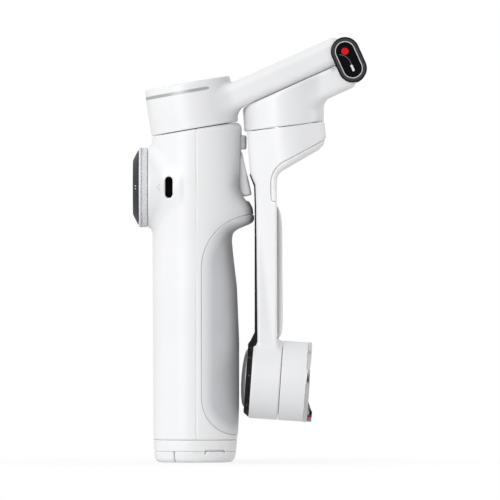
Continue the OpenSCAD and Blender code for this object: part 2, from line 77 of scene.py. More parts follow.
class Axis:
    """A line in the XZ plane: along it, across it (in the plane) and round it."""

    def __init__(self, point, direction):
        self.point = np.array(point, float)
        self.dir = np.array(direction, float) / np.linalg.norm(direction)
        self.side = np.array([self.dir[2], 0.0, -self.dir[0]])

    def along(self, g):
        return (g.x - self.point[0]) * self.dir[0] + (g.z - self.point[2]) * self.dir[2]

    def across(self, g):
        return (g.x - self.point[0]) * self.side[0] + (g.z - self.point[2]) * self.side[2]

    def radius(self, g):
        return np.sqrt(self.across(g) ** 2 + g.y ** 2)

    def matrix(self):
        """Places a drawing made about +Z, in metres, on this axis."""
        return placed(self.side, (0, 1, 0), self.dir, self.point)


def placed(x, y, z, point):
    """A matrix with these three directions and its origin at a point in millimetres."""
    m = Matrix.Identity(4)
    for row in range(3):
        m[row] = (x[row], y[row], z[row], point[row] * MM)
    return m


def joint_axis(name):
    joint = JOINTS[name]
    return Axis(np.array(joint["pos_m"]) / MM, joint["axis"])


def box_mm(node):
    low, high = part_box(node)
    return np.array(low) / MM, np.array(high) / MM


PAN = joint_axis("pan")
ROLL = joint_axis("roll")
TILT = joint_axis("tilt")
DIAL = joint_axis("zoom_turn")
PIN_UP = np.array(JOINTS["fold"]["pos_m"]) / MM
PIN_LOW = np.array(JOINTS["fold_lower"]["pos_m"]) / MM
LINK = Axis((PIN_UP + PIN_LOW) / 2, PIN_UP - PIN_LOW)
PIN_OFF = np.linalg.norm(PIN_UP - PIN_LOW) / 2
PORT_X, PORT_Z = (MOUNTS["charging_port"]["pos_m"][i] / MM for i in (0, 2))


# ---------- distance fields

class Grid:
    """Sample points every step millimetres through a box."""

    def __init__(self, low, high, step):
        self.step = step
        self.low = np.array(low, float) - 4 * step
        count = np.ceil((np.array(high, float) + 4 * step - self.low) / step).astype(int) + 1
        self.shape = tuple(count)
        line = [(self.low[i] + step * np.arange(count[i])).astype(np.float32) for i in range(3)]
        self.x = line[0][:, None, None]
        self.y = line[1][None, :, None]
        self.z = line[2][None, None, :]


def grid_round(nodes, step):
    boxes = [box_mm(n) for n in nodes]
    low = np.min([b[0] for b in boxes], axis=0)
    high = np.max([b[1] for b in boxes], axis=0)
    return Grid(low, high, step)


def from_axis(g):
    """Distance from the handle's upright axis."""
    return np.sqrt(g.x ** 2 + g.y ** 2)


def meet(a, b, r=0.0):
    """What is inside both, with its edge rounded to radius r."""
    if np.ndim(r) == 0 and r <= 0:
        return np.maximum(a, b)
    u = np.maximum(a + r, 0)
    v = np.maximum(b + r, 0)
    return np.minimum(np.maximum(a, b), -r) + np.sqrt(u * u + v * v)


def join(a, b, r=0.0):
    """What is inside either, with a fillet of radius r between them."""
    if np.ndim(r) == 0 and r <= 0:
        return np.minimum(a, b)
    u = np.maximum(r - a, 0)
    v = np.maximum(r - b, 0)
    return np.maximum(np.minimum(a, b), r) - np.sqrt(u * u + v * v)


def cut(a, b, r=0.0):
    return meet(a, -b, r)


def polygon(u, v, points):
    """Signed distance to an outline, negative inside."""
    best = np.full(np.broadcast(u, v).shape, 1e9, np.float32)
    inside = np.zeros(best.shape, bool)
    for (ax, ay), (bx, by) in zip(points, points[1:] + points[:1]):
        ex, ey = bx - ax, by - ay
        if ex * ex + ey * ey < 1e-12:
            continue
        wx, wy = u - ax, v - ay
        t = np.clip((wx * ex + wy * ey) / (ex * ex + ey * ey), 0, 1)
        best = np.minimum(best, (wx - ex * t) ** 2 + (wy - ey * t) ** 2)
        if ey:
            inside ^= ((ay <= v) != (by <= v)) & (u < ax + wy * ex / ey)
    return np.where(inside, -1, 1) * np.sqrt(best)


def between(value, low, high):
    return np.maximum(low - value, value - high)


def disc(u, v, cu, cv, r):
    return np.sqrt((u - cu) ** 2 + (v - cv) ** 2) - r


def capsule(u, v, half, r):
    """A pill standing along v, half its straight length each way from the middle."""
    return np.sqrt(u ** 2 + (v - np.clip(v, -half, half)) ** 2) - r


def smooth_line(points, blur):
    """A function through [position, value] points with its corners rounded over blur."""
    at = np.linspace(points[0][0] - 20, points[-1][0] + 20, 3000)
    value = np.interp(at, [p[0] for p in points], [p[1] for p in points])
    n = max(1, int(blur / (at[1] - at[0])))
    kernel = np.hanning(2 * n + 1)
    kernel /= kernel.sum()
    value = np.convolve(np.pad(value, n, mode="edge"), kernel, mode="valid")
    return lambda z: np.interp(z, at, value).astype(np.float32)


# ---------- outlines

def arc(cx, cy, r, start, end, steps=10):
    turns = [math.radians(start + (end - start) * i / steps) for i in range(steps + 1)]
    return [(cx + r * math.cos(a), cy + r * math.sin(a)) for a in turns]


def quarter(cx, cy, rx, ry, start):
    """A quarter of an ellipse, clockwise from an angle."""
    turns = [math.radians(a) for a in range(start, start - 91, -6)]
    return [(cx + rx * math.cos(a), cy + ry * math.sin(a)) for a in turns]


def rectangle(left, low, right, high):
    return [(left, low), (right, low), (right, high), (left, high)]


def pill(r, half=PIN_OFF, steps=24):
    """Two half circles of radius r, their centres half away from the middle."""
    return arc(0, half, r, 0, 180, steps) + arc(0, -half, r, 180, 360, steps)


def soften(points, r, steps=4):
    """Rounds a closed outline's corners. r is one radius, or one for each point."""
    out = []
    n = len(points)
    for i, p in enumerate(points):
        radius = r[i] if isinstance(r, (list, tuple)) else r
        if radius <= 0:
            out.append(tuple(p))
            continue
        here = Vector(p)
        back = Vector(points[i - 1]) - here
        ahead = Vector(points[(i + 1) % n]) - here
        reach = min(radius, back.length * 0.45, ahead.length * 0.45)
        a = here + back.normalized() * reach
        b = here + ahead.normalized() * reach
        for k in range(steps + 1):
            t = k / steps
            q = a * (1 - t) ** 2 + here * 2 * t * (1 - t) + b * t ** 2
            out.append((q.x, q.y))
    return out


# ---------- meshes

def add_object(name, mesh, body, look, replaces=()):
    obj = bpy.data.objects.new(name, mesh)
    bpy.context.scene.collection.objects.link(obj)
    mesh.materials.append(look["material"])
    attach(obj, body)
    if replaces:
        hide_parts(*replaces)
    return obj


def mesh_from_quads(name, points, quads):
    mesh = bpy.data.meshes.new(name)
    mesh.vertices.add(len(points))
    mesh.vertices.foreach_set("co", np.ascontiguousarray(points, np.float32).ravel())
    mesh.loops.add(quads.size)
    mesh.loops.foreach_set("vertex_index", quads.astype(np.int32).ravel())
    mesh.polygons.add(len(quads))
    mesh.polygons.foreach_set("loop_start", np.arange(0, quads.size, 4, dtype=np.int32))
    mesh.polygons.foreach_set("use_smooth", np.ones(len(quads), bool))
    mesh.update(calc_edges=True)
    return mesh


def moulded(name, field, g, body, look, replaces=()):
    """Meshes the surface where a field is zero."""
    volume = vdb.FloatGrid(2.0)
    values = np.clip(np.broadcast_to(field, g.shape), -2, 2).astype(np.float32)
    volume.copyFromArray(np.ascontiguousarray(values))
    points, quads = volume.convertToQuads(isovalue=0.0)
    points = (points * g.step + g.low) * MM
    mesh = mesh_from_quads(name, points, quads)
    return add_object(name, mesh, body, look, replaces)


def store(obj, name, values):
    obj.data.attributes.new(name, "FLOAT", "POINT").data.foreach_set("value", values)


def coordinates(obj):
    co = np.zeros(len(obj.data.vertices) * 3, np.float32)
    obj.data.vertices.foreach_get("co", co)
    return co.reshape(-1, 3) / MM


def crisp(obj, bevel=0.0):
    """Clean shading for flat faces that meet at edges."""
    if bevel:
        edge = obj.modifiers.new("edge", "BEVEL")
        edge.width = bevel * MM
        edge.segments = 3
        edge.limit_method = "ANGLE"
        edge.angle_limit = math.radians(35)
    flat = obj.modifiers.new("normals", "WEIGHTED_NORMAL")
    flat.keep_sharp = True
    return obj


def lathed(name, profile, matrix, body, look, replaces=(), steps=144):
    """Turns an outline of (radius, height) about an axis. It is closed or ends on the axis."""
    turns = np.linspace(0, 2 * math.pi, steps, endpoint=False)
    points, rings = [], []
    for r, t in profile:
        if abs(r) < 1e-6:
            rings.append([len(points)] * steps)
            points.append((0, 0, t))
        else:
            rings.append(list(range(len(points), len(points) + steps)))
            points += [(r * math.cos(a), r * math.sin(a), t) for a in turns]
    closed = profile[0][0] > 1e-6
    pairs = list(zip(rings, rings[1:] + ([rings[0]] if closed else [])))
    faces = []
    for low, high in pairs:
        for i in range(steps):
            j = (i + 1) % steps
            corners = (low[i], low[j], high[j], high[i])
            face = [c for k, c in enumerate(corners) if c != corners[k - 1]]
            if len(face) > 2:
                faces.append(face)
    return flat_sided(name, points, faces, matrix, body, look, replaces)


def prism(name, outline, low, high, matrix, body, look, replaces=(), bevel=0.0):
    """Raises an outline of (x, y) from one height to another, in the matrix's frame."""
    points = [(x, y, t) for t in (low, high) for x, y in outline]
    obj = flat_sided(name, points, raised_faces(len(outline)), matrix, body, look, replaces)
    return crisp(obj, bevel) if bevel else obj


def raised_faces(n):
    """Two ends and n sides, for an outline's points followed by the same points raised."""
    ends = [list(range(n))[::-1], list(range(n, 2 * n))]
    return ends + [[i, (i + 1) % n, n + (i + 1) % n, n + i] for i in range(n)]


def frame_prism(name, outer, inner, low, high, matrix, body, look, replaces=()):
    """A flat frame between two outlines with the same number of points."""
    n = len(outer)
    points = [(x, y, t) for t in (low, high) for line in (outer, inner) for x, y in line]
    faces = []
    for i in range(n):
        j = (i + 1) % n
        faces += [[i, n + i, n + j, j], [2 * n + i, 2 * n + j, 3 * n + j, 3 * n + i]]
        faces += [[i, j, 2 * n + j, 2 * n + i], [n + i, 3 * n + i, 3 * n + j, n + j]]
    return flat_sided(name, points, faces, matrix, body, look, replaces)


def flat_sided(name, points, faces, matrix, body, look, replaces=()):
    """A mesh from points and faces, smooth except where faces meet at more than 40 degrees."""
    mesh = bpy.data.meshes.new(name)
    mesh.from_pydata([Vector(p) * MM for p in points], [], faces)
    mesh.transform(matrix)
    fix_winding(mesh)
    for face in mesh.polygons:
        face.use_smooth = True
    mesh.set_sharp_from_angle(angle=math.radians(40))
    return crisp(add_object(name, mesh, body, look, replaces))


def fix_winding(mesh):
    """Turns every face outwards, judged by the sign of the enclosed volume."""
    mesh.calc_loop_triangles()
    volume = 0.0
    for tri in mesh.loop_triangles:
        a, b, c = (mesh.vertices[i].co for i in tri.vertices)
        volume += a.dot(b.cross(c))
    if volume < 0:
        mesh.flip_normals()
    mesh.update()


# ---------- materials

def nodes_of(name):
    material = bpy.data.materials.new(name)
    material.use_nodes = True
    tree = material.node_tree
    return material, tree, tree.nodes["Principled BSDF"]


def position(tree, kind="Object"):
    return tree.nodes.new("ShaderNodeTexCoord").outputs[kind]


def noise(tree, size, detail=2.0):
    """Noise with features about size millimetres across."""
    node = tree.nodes.new("ShaderNodeTexNoise")
    node.inputs["Scale"].default_value = 1000.0 / size
    node.inputs["Detail"].default_value = detail
    tree.links.new(position(tree), node.inputs["Vector"])
    return node.outputs["Fac"]


def spread(tree, value, low, high, start=0.3, end=0.7):
    """Maps start..end of a value to low..high."""
    node = tree.nodes.new("ShaderNodeMapRange")
    node.inputs["From Min"].default_value = start
    node.inputs["From Max"].default_value = end
    node.inputs["To Min"].default_value = low
    node.inputs["To Max"].default_value = high
    tree.links.new(value, node.inputs["Value"])
    return node.outputs["Result"]


def mixed(tree, factor, first, second):
    """A colour between two, where factor is a socket or a number."""
    node = tree.nodes.new("ShaderNodeMix")
    node.data_type = "RGBA"
    for socket, value in ((node.inputs[0], factor), (node.inputs[6], first), (node.inputs[7], second)):
        if isinstance(value, bpy.types.NodeSocket):
            tree.links.new(value, socket)
        elif isinstance(value, (int, float)):
            socket.default_value = value
        else:
            socket.default_value = (*value, 1)
    return node.outputs[2]


def bump(tree, height, depth):
    """Relief of depth millimetres."""
    node = tree.nodes.new("ShaderNodeBump")
    node.inputs["Distance"].default_value = depth * MM
    node.inputs["Strength"].default_value = 1.0
    tree.links.new(height, node.inputs["Height"])
    return node.outputs["Normal"]


def plastic(name, colour, rough=0.35, coat=0.0, grain=0.35, grain_depth=0.004, metal=0.0,
            drift=0.03, slot=None, crease_shade=0.5, shine=0.5):
    """Moulded plastic or paint: slow colour drift, fine grain, uneven gloss, and painted shade darkening its
    creases.
    """
    material, tree, shader = nodes_of(name)
    shade = tuple(c * (1 - drift) for c in colour)
    base = mixed(tree, spread(tree, noise(tree, 28, 3), 0, 1), colour, shade)
    # Painted shade: where pointiness is low, in creases and seams, the colour is darkened towards a dimmer copy to
    # stand in for the shade there.
    crease = tree.nodes.new("ShaderNodeNewGeometry")
    hollow = spread(tree, crease.outputs["Pointiness"], crease_shade, 0.0, 0.40, 0.48)
    base = mixed(tree, hollow, base, tuple(c * 0.55 for c in colour))
    tree.links.new(base, shader.inputs["Base Color"])
    gloss = spread(tree, noise(tree, 9, 4), rough * 0.88, rough * 1.14)
    tree.links.new(gloss, shader.inputs["Roughness"])
    shader.inputs["Metallic"].default_value = metal
    shader.inputs["Specular IOR Level"].default_value = shine
    shader.inputs["Coat Weight"].default_value = coat
    shader.inputs["Coat Roughness"].default_value = 0.12
    relief = bump(tree, noise(tree, grain, 2), grain_depth)
    tree.links.new(relief, shader.inputs["Normal"])
    return {"material": material, "slot": slot}


def rubber(name, inner, rim, slot):
    """Soft grip: a rim band painted lighter by the stored distance, a painted highlight where its bevel catches
    light, and a fine matte grain.
    """
    material, tree, shader = nodes_of(name)
    band = tree.nodes.new("ShaderNodeAttribute")
    band.attribute_name = "rim"
    inside = spread(tree, band.outputs["Fac"], 0, 1, 1.6, 4.6)
    mottle = spread(tree, noise(tree, 16, 3), 0, 1)
    darker = mixed(tree, mottle, inner, tuple(c * 0.94 for c in inner))
    # Painted highlight: the band over the rim's bevel gets the lighter rim colour.
    base = mixed(tree, inside, rim, darker)
    tree.links.new(base, shader.inputs["Base Color"])
    tree.links.new(spread(tree, noise(tree, 5, 3), 0.56, 0.68), shader.inputs["Roughness"])
    shader.inputs["Sheen Weight"].default_value = 0.4
    shader.inputs["Sheen Roughness"].default_value = 0.5
    relief = bump(tree, noise(tree, 0.45, 3), 0.03)
    tree.links.new(relief, shader.inputs["Normal"])
    return {"material": material, "slot": slot}


def speckled(name, colour, fleck, rough, size, depth, slot, shine=0.3):
    """Dark textured part: packed pits with lighter flecks."""
    material, tree, shader = nodes_of(name)
    cells = tree.nodes.new("ShaderNodeTexVoronoi")
    cells.inputs["Scale"].default_value = 1000.0 / size
    tree.links.new(position(tree), cells.inputs["Vector"])
    lit = spread(tree, cells.outputs["Distance"], 1.0, 0.0, 0.0, 0.35)
    patch = spread(tree, noise(tree, 3.0, 2), 0.0, 1.0, 0.5, 0.75)
    both = tree.nodes.new("ShaderNodeMath")
    both.operation = "MULTIPLY"
    tree.links.new(lit, both.inputs[0])
    tree.links.new(patch, both.inputs[1])
    base = mixed(tree, both.outputs[0], colour, fleck)
    tree.links.new(base, shader.inputs["Base Color"])
    uneven = spread(tree, noise(tree, 2.0, 3), rough * 0.8, rough * 1.2)
    tree.links.new(uneven, shader.inputs["Roughness"])
    shader.inputs["Specular IOR Level"].default_value = shine
    tree.links.new(bump(tree, cells.outputs["Distance"], depth), shader.inputs["Normal"])
    return {"material": material, "slot": slot}


def metal(name, colour, rough, slot, brush=0.25, depth=0.002, worn=0.05):
    """Turned or polished metal with fine marks and smudges."""
    material, tree, shader = nodes_of(name)
    smudge = spread(tree, noise(tree, 7, 4), 0, 1)
    base = mixed(tree, smudge, colour, tuple(c * (1 - worn) for c in colour))
    tree.links.new(base, shader.inputs["Base Color"])
    shader.inputs["Metallic"].default_value = 1.0
    uneven = spread(tree, noise(tree, 3, 4), rough * 0.75, rough * 1.3)
    tree.links.new(uneven, shader.inputs["Roughness"])
    shader.inputs["Anisotropic"].default_value = 0.3
    tree.links.new(bump(tree, noise(tree, brush, 2), depth), shader.inputs["Normal"])
    return {"material": material, "slot": slot}


WHITE = plastic("white_shell", (0.80, 0.803, 0.812), rough=0.40, slot="white_satin")
KNURL = plastic("white_knurl", (0.70, 0.705, 0.725), rough=0.45, slot="white_knurl")
# The second, lighter colour is the painted highlight on the grip's bevelled rim.
GRIP = rubber("grip_rubber", (0.55, 0.555, 0.575), (0.69, 0.695, 0.715), "grip_rubber")
SILVER = plastic("silver_band", (0.44, 0.445, 0.46), rough=0.42, metal=0.35, slot="silver_band")
DARK = speckled("dark_plate", (0.006, 0.006, 0.007), (0.6, 0.61, 0.63), 0.6, 0.9, 0.03, "dark_plate",
                shine=0.15)
PANEL = plastic("dial_panel", (0.013, 0.015, 0.019), rough=0.42, shine=0.22, slot="dark_plate")
GLOSS = plastic("black_gloss", (0.004, 0.004, 0.005), rough=0.12, shine=0.2, grain_depth=0.001,
                slot="dark_gloss")
LINK_LOOK = speckled("link_plate", (0.035, 0.036, 0.04), (0.30, 0.305, 0.315), 0.5, 0.5, 0.05,
                     "link_dark", shine=0.2)
SWEEP = plastic("sweep_grey", (0.10, 0.102, 0.108), rough=0.4, shine=0.2, slot="key_grey")
RED = plastic("red_dot", (0.56, 0.004, 0.006), rough=0.3, shine=0.3, slot="red_dot")
PAINT = plastic("white_mark", (0.78, 0.78, 0.78), rough=0.35, slot="mark_white")
TRIM = plastic("light_trim", (0.62, 0.625, 0.64), rough=0.3, metal=0.2, slot="trim_grey")
# Silver, with its colour set darker than the silvery white dome as painted shade for the shadow it sits in, facing
# the handle.
DOME = plastic("dome_silver", (0.36, 0.365, 0.38), rough=0.35, metal=0.6, slot="dome_silver")
CHROME = metal("chrome_ring", (0.66, 0.665, 0.68), 0.14, "chrome_ring", depth=0.001)
TRIGGER = plastic("trigger_grey", (0.75, 0.755, 0.77), rough=0.36, slot="trigger_grey")
KEY = plastic("key_grey", (0.30, 0.305, 0.315), rough=0.42, slot="key_grey")
# Painted shade: this mid grey stands in for the shadow in the narrow gap between handle and roll drum where the
# bumper sits; the tilt seat shares it.
BUMPER = plastic("bumper_shaded_grey", (0.46, 0.465, 0.48), rough=0.6, grain_depth=0.012, slot="key_grey")
INNER = plastic("inner_dark", (0.03, 0.03, 0.032), rough=0.55, slot="inner_dark")
STEEL = metal("brushed_steel", (0.55, 0.55, 0.56), 0.3, "steel", brush=0.5, depth=0.006)
COPPER = metal("wound_copper", (0.75, 0.32, 0.14), 0.35, "copper", brush=0.35, depth=0.08)
BRASS = metal("brass_insert", (0.72, 0.5, 0.2), 0.3, "brass_insert", brush=0.5, depth=0.01)
BOARD = plastic("circuit_board", (0.02, 0.13, 0.06), rough=0.4, drift=0.25, slot="board_green")
CELL = plastic("cell_wrap", (0.05, 0.14, 0.32), rough=0.25, coat=0.4, slot="cell_wrap")
FAINT = plastic("faint_mark", (0.6, 0.605, 0.62), rough=0.4, slot="white_satin")


# ---------- handle

SPLIT_X = 0.6
SPLIT_LAP = 0.14
WALL = 1.7
PAD_BED = 1.2
BED_WALL = 2.7
SHELL_FOOT = box_mm("rear_shell")[0][2]
CAP_TOP = 4.25
HAIR = 0.02
ROUNDNESS = 2.2
SIDE = box_mm("grip_pad")[1][1] - 0.2

# How far the handle reaches from its axis at each height: to the back, to the front and to the
# side. The lip is what the finger rest adds to the back.
BACK_LINE = smooth_line(
    [(0, 14.6), (1.2, 15.5), (4.3, 16.1), (10.5, 16.6), (16, 17.1), (22, 17.3), (47, 17.35),
     (68, 16.5), (80, 15.1), (87, 14.4), (92, 15.2), (97, 16.6), (104, 17.5), (109, 17.8),
     (128, 18.2), (150, 18.3)], 2.5)
FRONT_LINE = smooth_line([(0, 15), (1.2, 15.6), (4.3, 16.0), (9, 16.2), (60, 16.35), (136, 16.9)], 2)
SIDE_LINE = smooth_line(
    [(0, 15.2), (1.2, 15.8), (4.3, SIDE - 0.1), (85, SIDE), (114, 17.1), (150, 17.1)], 6)
LIP_LINE = smooth_line(
    [(86, 0), (89.4, 0.2), (90.8, 1.6), (92.0, 4.4), (93.2, 6.8), (94.6, 7.1), (97.0, 6.2),
     (99.2, 5.6), (101.4, 4.1), (104.2, 1.5), (107, 0)], 1.0)
LIP_WIDTH = 10.5


def handle_field(g):
    """The handle's outside, without ends."""
    lip = LIP_LINE(g.z) / (1 + (np.abs(g.y) / LIP_WIDTH) ** 4)
    reach = np.where(g.x > 0, BACK_LINE(g.z) + lip, FRONT_LINE(g.z))
    q = np.abs(g.x / reach) ** ROUNDNESS + np.abs(g.y / SIDE_LINE(g.z)) ** ROUNDNESS
    q = np.maximum(q ** (1 / ROUNDNESS), 1e-3)
    return from_axis(g) * (1 - 1 / q)


def grip_line(edge=2.7, top=96.6, foot=10.8):
    """The grip's outline from the side, rounded at both ends of its front edge."""
    upper = quarter(24, 76, 24 - edge, top - 76, 180)
    lower = quarter(16, 25, 16 - edge, 25 - foot, 270)
    return upper + [(40, top), (40, foot)] + lower


def shell_field(g):
    """Handle with its dial boss, cut under the pan seam. The rim is sharper at the front."""
    boss = meet(DIAL.radius(g) - 15.35, between(-g.x, 6, 18.3), 0.3)
    body = join(handle_field(g), boss, 2.6)
    blend = np.clip((g.x + 4) / 16, 0, 1)
    return meet(body, PAN.along(g) + 0.15, 0.7 + 2.3 * blend * blend)


def port_slot(g):
    return np.maximum(capsule(g.x - PORT_X, g.z - PORT_Z, 2.7, 1.45), g.y + 7)


def build_shells():
    """Two halves that meet at the parting line. The rear one has the grip's bed."""
    g = grid_round(["front_shell", "rear_shell"], COARSE)
    skin = handle_field(g)
    t = PAN.along(g)
    shell = meet(shell_field(g), SHELL_FOOT + HAIR - g.z, 0.04)
    shell = cut(shell, np.maximum(PAN.radius(g) - 13.15, between(t, -8, 8)), 0.2)
    shell = cut(shell, np.maximum(skin + WALL, t + 2.6))
    front = meet(shell, g.x - (SPLIT_X + SPLIT_LAP))
    front = cut(front, port_slot(g), 0.15)
    front = cut(front, np.maximum(DIAL.radius(g) - 11.2, g.x + 8))
    moulded("handle_front", front, g, "handle", WHITE, ["front_shell"])
    pad = polygon(g.x, g.z, grip_line())
    rear = meet(shell, (SPLIT_X - SPLIT_LAP) - g.x)
    rear = cut(rear, np.maximum(pad - 0.04, -(skin + PAD_BED)))
    floor = meet(np.maximum(skin + PAD_BED, pad - 1.5), -(skin + BED_WALL))
    rear = join(rear, np.maximum(floor, SPLIT_X + 0.1 - g.x))
    rear = cut(rear, np.maximum(skin + BED_WALL, between(g.z, 9, 120)))
    slot = np.maximum(np.abs(g.y) - 4.6, np.maximum(between(g.z, 101.9, 119.3), 9 - g.x))
    rear = cut(rear, slot, 0.4)
    moulded("handle_rear", rear, g, "handle", WHITE, ["rear_shell"])


def build_grip():
    """Soft pad whose rim stands a little prouder than its middle."""
    g = grid_round(["grip_pad"], 0.35)
    outline = grip_line()
    edge = polygon(g.x, g.z, outline)
    skin = handle_field(g)
    step = 0.2 * np.clip((-edge - 1.8) / 3.0, 0, 1)
    pad = meet(skin - 0.12 + step, edge, 0.25)
    pad = cut(pad, skin + 1.15)
    pad = meet(pad, SPLIT_X + 1 - g.x)
    obj = moulded("grip", pad, g, "handle", GRIP, ["grip_pad"])
    co = coordinates(obj)
    inside = -polygon(co[:, 0], co[:, 2], outline)
    store(obj, "rim", inside.astype(np.float32))


def turned(g, turn):
    """Outwards from the axis and sideways, for a leg at this angle."""
    ca, sa = math.cos(math.radians(turn)), math.sin(math.radians(turn))
    return g.x * ca + g.y * sa, g.y * ca - g.x * sa


def finger_groove(g, turn, reach=4.15, top=4.62, half=0.24):
    """Arched groove a fingernail pulls the leg out by."""
    u, v = turned(g, turn)
    arch = meet(np.abs(v) - reach, g.z - top, 0.9)
    line = np.maximum(np.abs(arch) - half, 3.3 - g.z)
    return np.maximum(line, np.maximum(-(handle_field(g) + 0.9), -u))


LEG_TURNS = {"a": 60, "b": 180, "c": 300}


def build_base():
    g = grid_round(["base_ring"], FINE)
    ring = meet(handle_field(g), between(g.z, CAP_TOP + HAIR, SHELL_FOOT - HAIR), 0.04)
    ring = cut(ring, from_axis(g) - 13.4)
    for turn in LEG_TURNS.values():
        ring = cut(ring, finger_groove(g, turn), 0.1)
    moulded("base_ring_shell", ring, g, "handle", WHITE, ["base_ring"])
    for letter, turn in LEG_TURNS.items():
        build_leg(letter, turn)


def build_leg(letter, turn):
    """A bar with an eye for its pin, and its share of the base cap as its foot."""
    node = "tripod_leg_" + letter
    pivot = np.array(JOINTS[f"leg_{letter}_pivot"]["pos_m"]) / MM
    g = grid_round([node], 0.35)
    u, v = turned(g, turn)
    reach = math.hypot(pivot[0], pivot[1])
    thick = np.abs(u - reach) - 1.3
    bar = meet(thick, np.abs(v) - 4, 0.4)
    bar = meet(bar, between(g.z, 2.8, pivot[2] - 4.4), 0.6)
    neck = np.maximum(thick, between(g.z, pivot[2] - 5, pivot[2]))
    eye = disc(u, g.z, reach, pivot[2], 1.3)
    leg = join(bar, np.maximum(np.minimum(neck, eye), np.abs(v) - 2), 0.3)
    leg = join(leg, leg_foot(g, u, v), 0.5)
    leg = cut(leg, finger_groove(g, turn), 0.1)
    leg = cut(leg, disc(u, g.z, reach, pivot[2], 0.84))
    moulded("foot_" + letter, leg, g, "leg_" + letter, WHITE, [node])


def leg_foot(g, u, v):
    """A third of the base cap, rounded at its lower edge."""
    skin = handle_field(g)
    height = between(g.z, 0, CAP_TOP)
    foot = np.where(g.z > 2.2, meet(skin, height, 0.04), meet(skin, height, 1.6))
    half = math.radians(60)
    wedge = np.abs(v) * math.cos(half) - (u - 0.2) * math.sin(half)
    foot = meet(foot, wedge, 0.25)
    return cut(foot, from_axis(g) - 5.5, 0.3)


# ---------- dial and port

CONE_WIDE = 14.42
CONE_NARROW = 10.9


def axial(x):
    """Distance along the dial's axis of a point on it with this x."""
    return (x - DIAL.point[0]) * DIAL.dir[0]


def build_dial():
    m = DIAL.matrix()
    low, high = box_mm("zoom_ring")
    back, front = axial(high[0]), axial(low[0])
    radius = (high[2] - low[2]) / 2
    neck = 12.35
    base = [(5.7, back - 3), (5.7, front), (neck, front + 0.05), (neck, back - 0.13),
            (10.9, back - 0.13), (10.9, back - 5)]
    lathed("dial_neck", base, m, "handle", WHITE, ["dial_base"])
    build_zoom_ring(m, radius, back, front, neck + 0.09)
    build_panel(m)


def build_zoom_ring(m, radius, back, front, bore, ribs=72, per_rib=8):
    """White ring with a row of chevron grooves and a row of small pits."""
    plain, chevron, shifted, pit = range(4)
    rows = [(bore, back, plain), (radius - 0.35, back, plain),
            (radius - 0.08, back + 0.22, plain), (radius, back + 0.35, plain)]
    for k in range(5):
        rows.append((radius, back + 0.45 + 0.5 * k, shifted if k % 2 else chevron))
    rows += [(radius, back + 2.6, plain), (radius, front - 1.15, plain),
             (radius, front - 0.9, pit), (radius, front - 0.65, plain),
             (radius - 0.08, front - 0.2, plain), (radius - 0.3, front, plain), (bore, front, plain)]
    depth = {plain: 0, chevron: 0.26, shifted: 0.26, pit: 0.34}
    start = {plain: 0, chevron: 0, shifted: per_rib // 2, pit: 2}
    steps = ribs * per_rib
    points = []
    for r, t, kind in rows:
        for i in range(steps):
            a = 2 * math.pi * i / steps
            sunk = r - depth[kind] * ((i - start[kind]) % per_rib < 3)
            points.append((sunk * math.cos(a), sunk * math.sin(a), t))
    n = len(rows)
    faces = [[row * steps + i, row * steps + (i + 1) % steps,
              ((row + 1) % n) * steps + (i + 1) % steps, ((row + 1) % n) * steps + i]
             for row in range(n) for i in range(steps)]
    flat_sided("zoom_wheel_ring", points, faces, m, "zoom_wheel", KNURL, ["zoom_ring"])


def build_panel(m):
    low, high = box_mm("dial_panel")
    face, back = axial(low[0]), axial(high[0])
    cone = soften([(5.55, back), (14.5, back), (CONE_WIDE, back + 0.3), (CONE_NARROW, face - 0.18),
                   (10.4, face), (6.2, face), (5.9, face - 0.12), (5.55, face - 0.12)],
                  [0, 0.1, 0.15, 0.3, 0.2, 0.1, 0, 0])
    lathed("dial_cone", cone, m, "handle", PANEL, ["dial_panel"])
    low, high = box_mm("panel_button")
    top, foot = axial(low[0]), axial(high[0])
    cap = [(0, foot), (2, foot), (2, foot + 1.2), (5.38, foot + 1.2), (5.38, top - 0.3),
           (5.2, top - 0.06), (4.9, top), (3.2, top - 0.14), (0, top - 0.26)]
    lathed("dial_button", cap, m, "button", GLOSS, ["panel_button"])
    for k in range(4):
        a = math.radians(90 * k)
        dot = arc(8.3 * math.cos(a), 8.3 * math.sin(a), 0.42, 0, 342, 19)
        prism(f"dial_mark_{k}", dot, face - 0.02, face + 0.03, m, "handle", PAINT)
    build_cone_mark(m, back + 0.3, face - 0.18)


def build_cone_mark(m, foot, top, middle=12.7):
    """Two small strokes on the cone at a middle radius, on the side with the port."""
    slope = math.atan2(top - foot, CONE_WIDE - CONE_NARROW)
    height = foot + (CONE_WIDE - middle) * math.tan(slope)
    for k, off in enumerate((-0.55, 0.55)):
        points = []
        for lift in (-0.03, 0.03):
            for along, side in rectangle(-0.45, -0.16, 0.45, 0.16):
                r = middle - along * math.cos(slope) + lift * math.sin(slope)
                t = height + along * math.sin(slope) + lift * math.cos(slope)
                points.append((side + off, -r, t))
        flat_sided(f"cone_mark_{k}", points, raised_faces(4), m, "handle", PAINT)


def build_port():
    """The slot's lining in black gloss, painted shade for the deep slot, and three faint marks. The metal shell
    and tongue are the CAD's.
    """
    m = Matrix.Translation((PORT_X * MM, 0, PORT_Z * MM)) @ Matrix.Rotation(math.pi / 2, 4, "X")
    frame_prism("port_lining", pill(1.55, 2.7, 16), pill(1.4, 2.7, 16), 10.0, 12.0, m, "handle",
                GLOSS, ["port_bezel"])
    for k, (x, z, tall) in enumerate(((-3.7, 0.9, 0.9), (-4.4, 0, 1.3), (-3.7, -0.9, 0.9))):
        outline = rectangle(x - 0.22, z - tall / 2, x + 0.22, z + tall / 2)
        stamp(f"port_mark_{k}", soften(outline, 0.12, 3), m, FAINT)


